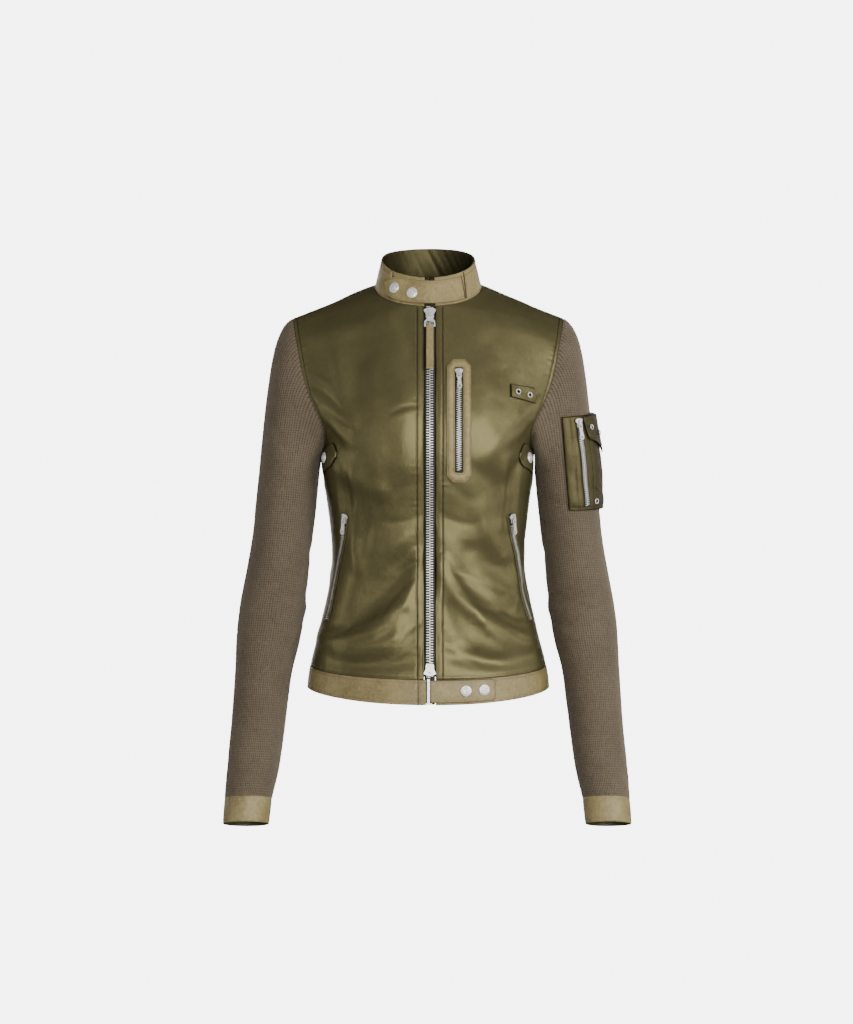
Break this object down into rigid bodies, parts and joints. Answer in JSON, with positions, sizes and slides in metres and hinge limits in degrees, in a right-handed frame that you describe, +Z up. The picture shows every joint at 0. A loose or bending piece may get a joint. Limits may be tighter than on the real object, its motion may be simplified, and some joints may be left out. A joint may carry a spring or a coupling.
{
  "type": "knit racer jacket",
  "caption": "Fitted zip jacket with smooth body panels, waffle-knit sleeves, leather collar, hem and cuffs, and a zipped chest, sleeve and two side pockets.",
  "frame": {"origin": "middle of the neck opening at the height of the collar seam, where the wearer's neck and shoulders hold the jacket", "axes": "-Y is the jacket's front, +X the wearer's left (the viewer's right), +Z up, as worn"},
  "size_m": [0.527, 0.2439, 0.7519],
  "materials": {
    "satin_olive": "nylon satin, strong soft sheen",
    "satin_dark": "satin lining, soft sheen",
    "knit_taupe": "waffle knit, matt",
    "leather_khaki": "smooth, low sheen",
    "nickel": "polished nickel",
    "tape_dark": "woven zip tape with metal teeth, matt"
  },
  "bodies": {
    "jacket": {"front_left": "satin_olive", "front_right": "satin_olive", "back": "satin_olive", "sleeve_left": "knit_taupe", "sleeve_right": "knit_taupe", "cuff_left": "leather_khaki", "cuff_right": "leather_khaki", "collar_band": "leather_khaki", "collar_lining": "satin_dark", "collar_strap": "leather_khaki", "collar_snap_1": "nickel", "collar_snap_2": "nickel", "hem_band": "leather_khaki", "hem_tab": "leather_khaki", "hem_snap_1": "nickel", "hem_snap_2": "nickel", "main_zip": "tape_dark", "main_slider_top": "nickel", "main_slider_bottom": "nickel", "main_pin": "nickel", "chest_surround": "leather_khaki", "chest_zip": "tape_dark", "chest_slider": "nickel", "eyelet_tab": "satin_olive", "tab_eyelet_1": "nickel", "tab_eyelet_2": "nickel", "side_zip_left": "tape_dark", "side_zip_right": "tape_dark", "side_slider_left": "nickel", "side_slider_right": "nickel", "side_tab_left": "satin_olive", "side_tab_right": "satin_olive", "side_snap_left": "nickel", "side_snap_right": "nickel", "sleeve_pocket": "satin_olive", "sleeve_zip": "tape_dark", "sleeve_slider": "nickel", "sleeve_flap": "satin_olive", "sleeve_eyelet_1": "nickel", "sleeve_eyelet_2": "nickel", "sleeve_eyelet_3": "nickel"},
    "main_pull_body": {"main_pull": "nickel", "main_pull_strip": "leather_khaki"},
    "chest_pull_body": {"chest_pull": "nickel"},
    "side_pull_right_body": {"side_pull_right": "nickel"},
    "side_pull_left_body": {"side_pull_left": "nickel"},
    "sleeve_pull_body": {"sleeve_pull": "nickel"}
  },
  "joints": [
    {"name": "main_pull_swing", "type": "hinge", "parent": "jacket", "child": "main_pull_body", "pos_m": [0.002, -0.06944, -0.01869], "axis": [-1, 0, 0], "range_deg": [0, 140]},
    {"name": "chest_pull_swing", "type": "hinge", "parent": "jacket", "child": "chest_pull_body", "pos_m": [0.0389, -0.10397, -0.09457], "axis": [-0.9969, -0.0784, 0], "range_deg": [0, 150]},
    {"name": "side_pull_right_swing", "type": "hinge", "parent": "jacket", "child": "side_pull_right_body", "pos_m": [-0.1083, -0.06774, -0.28151], "axis": [-0.6859, 0.6558, 0.3154], "range_deg": [0, 150]},
    {"name": "side_pull_left_swing", "type": "hinge", "parent": "jacket", "child": "side_pull_left_body", "pos_m": [0.10962, -0.06818, -0.28149], "axis": [-0.6442, -0.6926, -0.3244], "range_deg": [0, 150]},
    {"name": "sleeve_pull_swing", "type": "hinge", "parent": "jacket", "child": "sleeve_pull_body", "pos_m": [0.19406, -0.05442, -0.15938], "axis": [-0.8563, -0.5048, -0.1089], "range_deg": [0, 150]}
  ]
}
